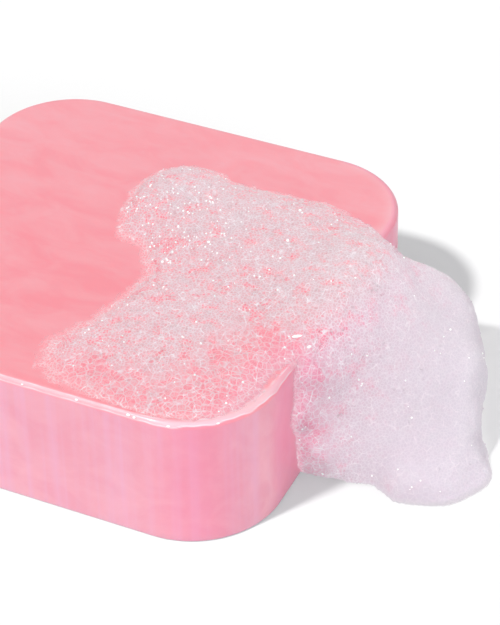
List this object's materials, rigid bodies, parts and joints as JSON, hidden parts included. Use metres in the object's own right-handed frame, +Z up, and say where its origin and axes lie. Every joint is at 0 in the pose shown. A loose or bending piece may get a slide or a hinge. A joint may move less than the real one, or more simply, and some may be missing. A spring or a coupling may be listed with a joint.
{
  "type": "shower bar",
  "caption": "Square bar of pink soap with round corners and lather over one edge.",
  "frame": {"origin": "middle of the face that the bar rests on", "axes": "+Z up out of the bar's top, +X towards the wall that the lather runs down, -Y towards the front"},
  "size_m": [0.0907, 0.065, 0.0256],
  "materials": {
    "soap": "smooth moulded soap, slightly see-through, wet at the front corner",
    "lather": "fine white lather of small clear bubbles, pink where it is thin"
  },
  "bodies": {
    "root": {"shower_bar": "soap", "lather": "lather"}
  },
  "joints": []
}
